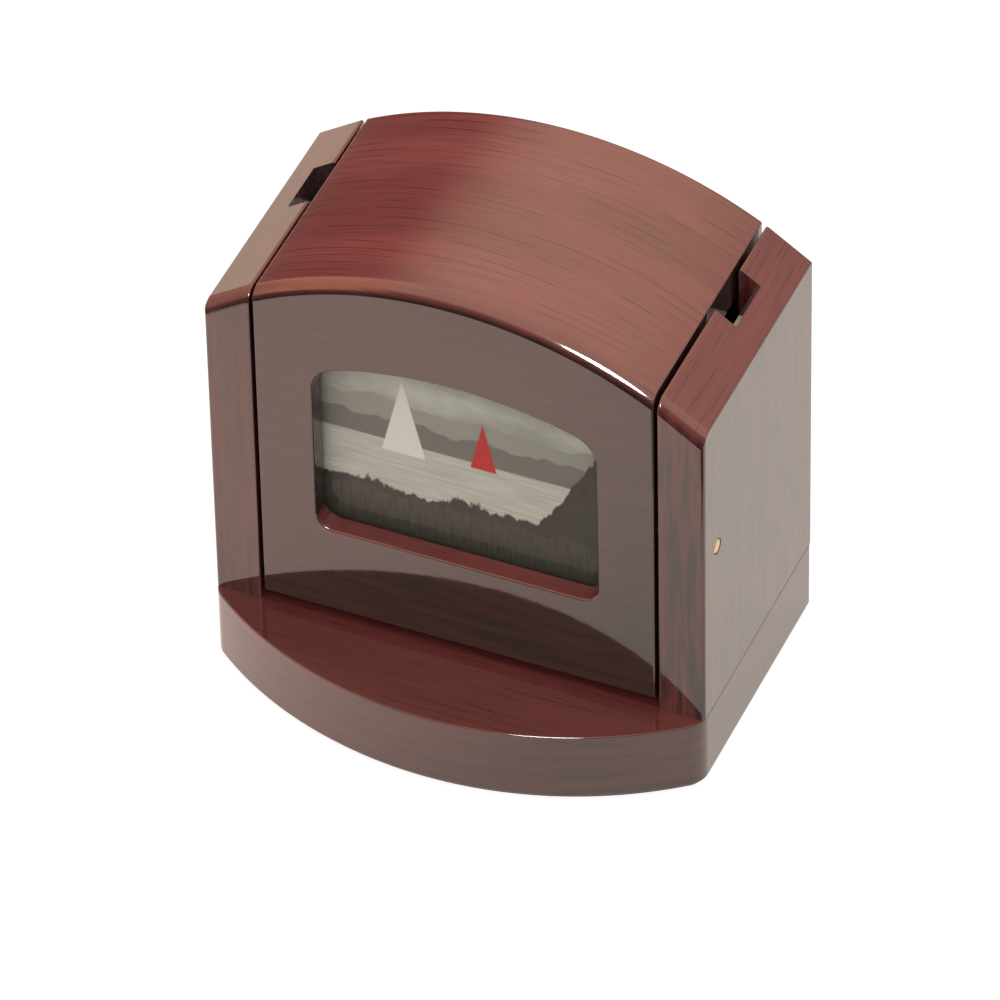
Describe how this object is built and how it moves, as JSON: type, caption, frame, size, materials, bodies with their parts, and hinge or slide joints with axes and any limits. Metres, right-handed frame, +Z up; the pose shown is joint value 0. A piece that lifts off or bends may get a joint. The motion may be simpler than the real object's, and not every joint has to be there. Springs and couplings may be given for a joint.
{
  "type": "business card box",
  "caption": "Lacquered wooden card box with a bow-front base and an arched hood that tips forward on two brass pins; the hood has a picture window and a card pocket behind it.",
  "frame": {"origin": "middle of the footprint, on the surface that the box stands on", "axes": "+X to the right seen from the front, +Y to the back, +Z up"},
  "size_m": [0.1408, 0.1018, 0.1453],
  "materials": {
    "lacquered_wood": "high-gloss clear lacquer over dark red-brown rosewood",
    "plain_wood": "bare, sanded",
    "felt": "short dark felt",
    "pale_felt": "short pale grey felt",
    "brass": "turned, lightly polished",
    "screw_steel": "plain steel",
    "clear_lens": "clear, smooth",
    "print_card": "printed card, matt"
  },
  "bodies": {
    "case": {"base": "lacquered_wood", "base_felt": "felt", "right_side_panel": "lacquered_wood", "left_side_panel": "lacquered_wood", "back_panel": "lacquered_wood", "base_screws": "screw_steel", "back_dowels": "plain_wood", "right_pivot_pin": "brass", "left_pivot_pin": "brass", "stop_pegs": "lacquered_wood", "notch_pads": "pale_felt", "rest_pads": "felt"},
    "hood": {"front_panel": "lacquered_wood", "hood_top": "lacquered_wood", "right_cheek": "lacquered_wood", "left_cheek": "lacquered_wood", "card_shelf": "lacquered_wood", "card_liner": "felt", "cheek_dowels": "plain_wood", "lens": "clear_lens", "picture_print": "print_card", "backing_board": "plain_wood", "board_screws": "screw_steel", "right_pivot_bush": "brass", "left_pivot_bush": "brass"}
  },
  "joints": [
    {"name": "hood_tip", "type": "hinge", "parent": "case", "child": "hood", "pos_m": [0, -0.01545, 0.07704], "axis": [1, 0, 0], "range_deg": [0, 90]}
  ]
}
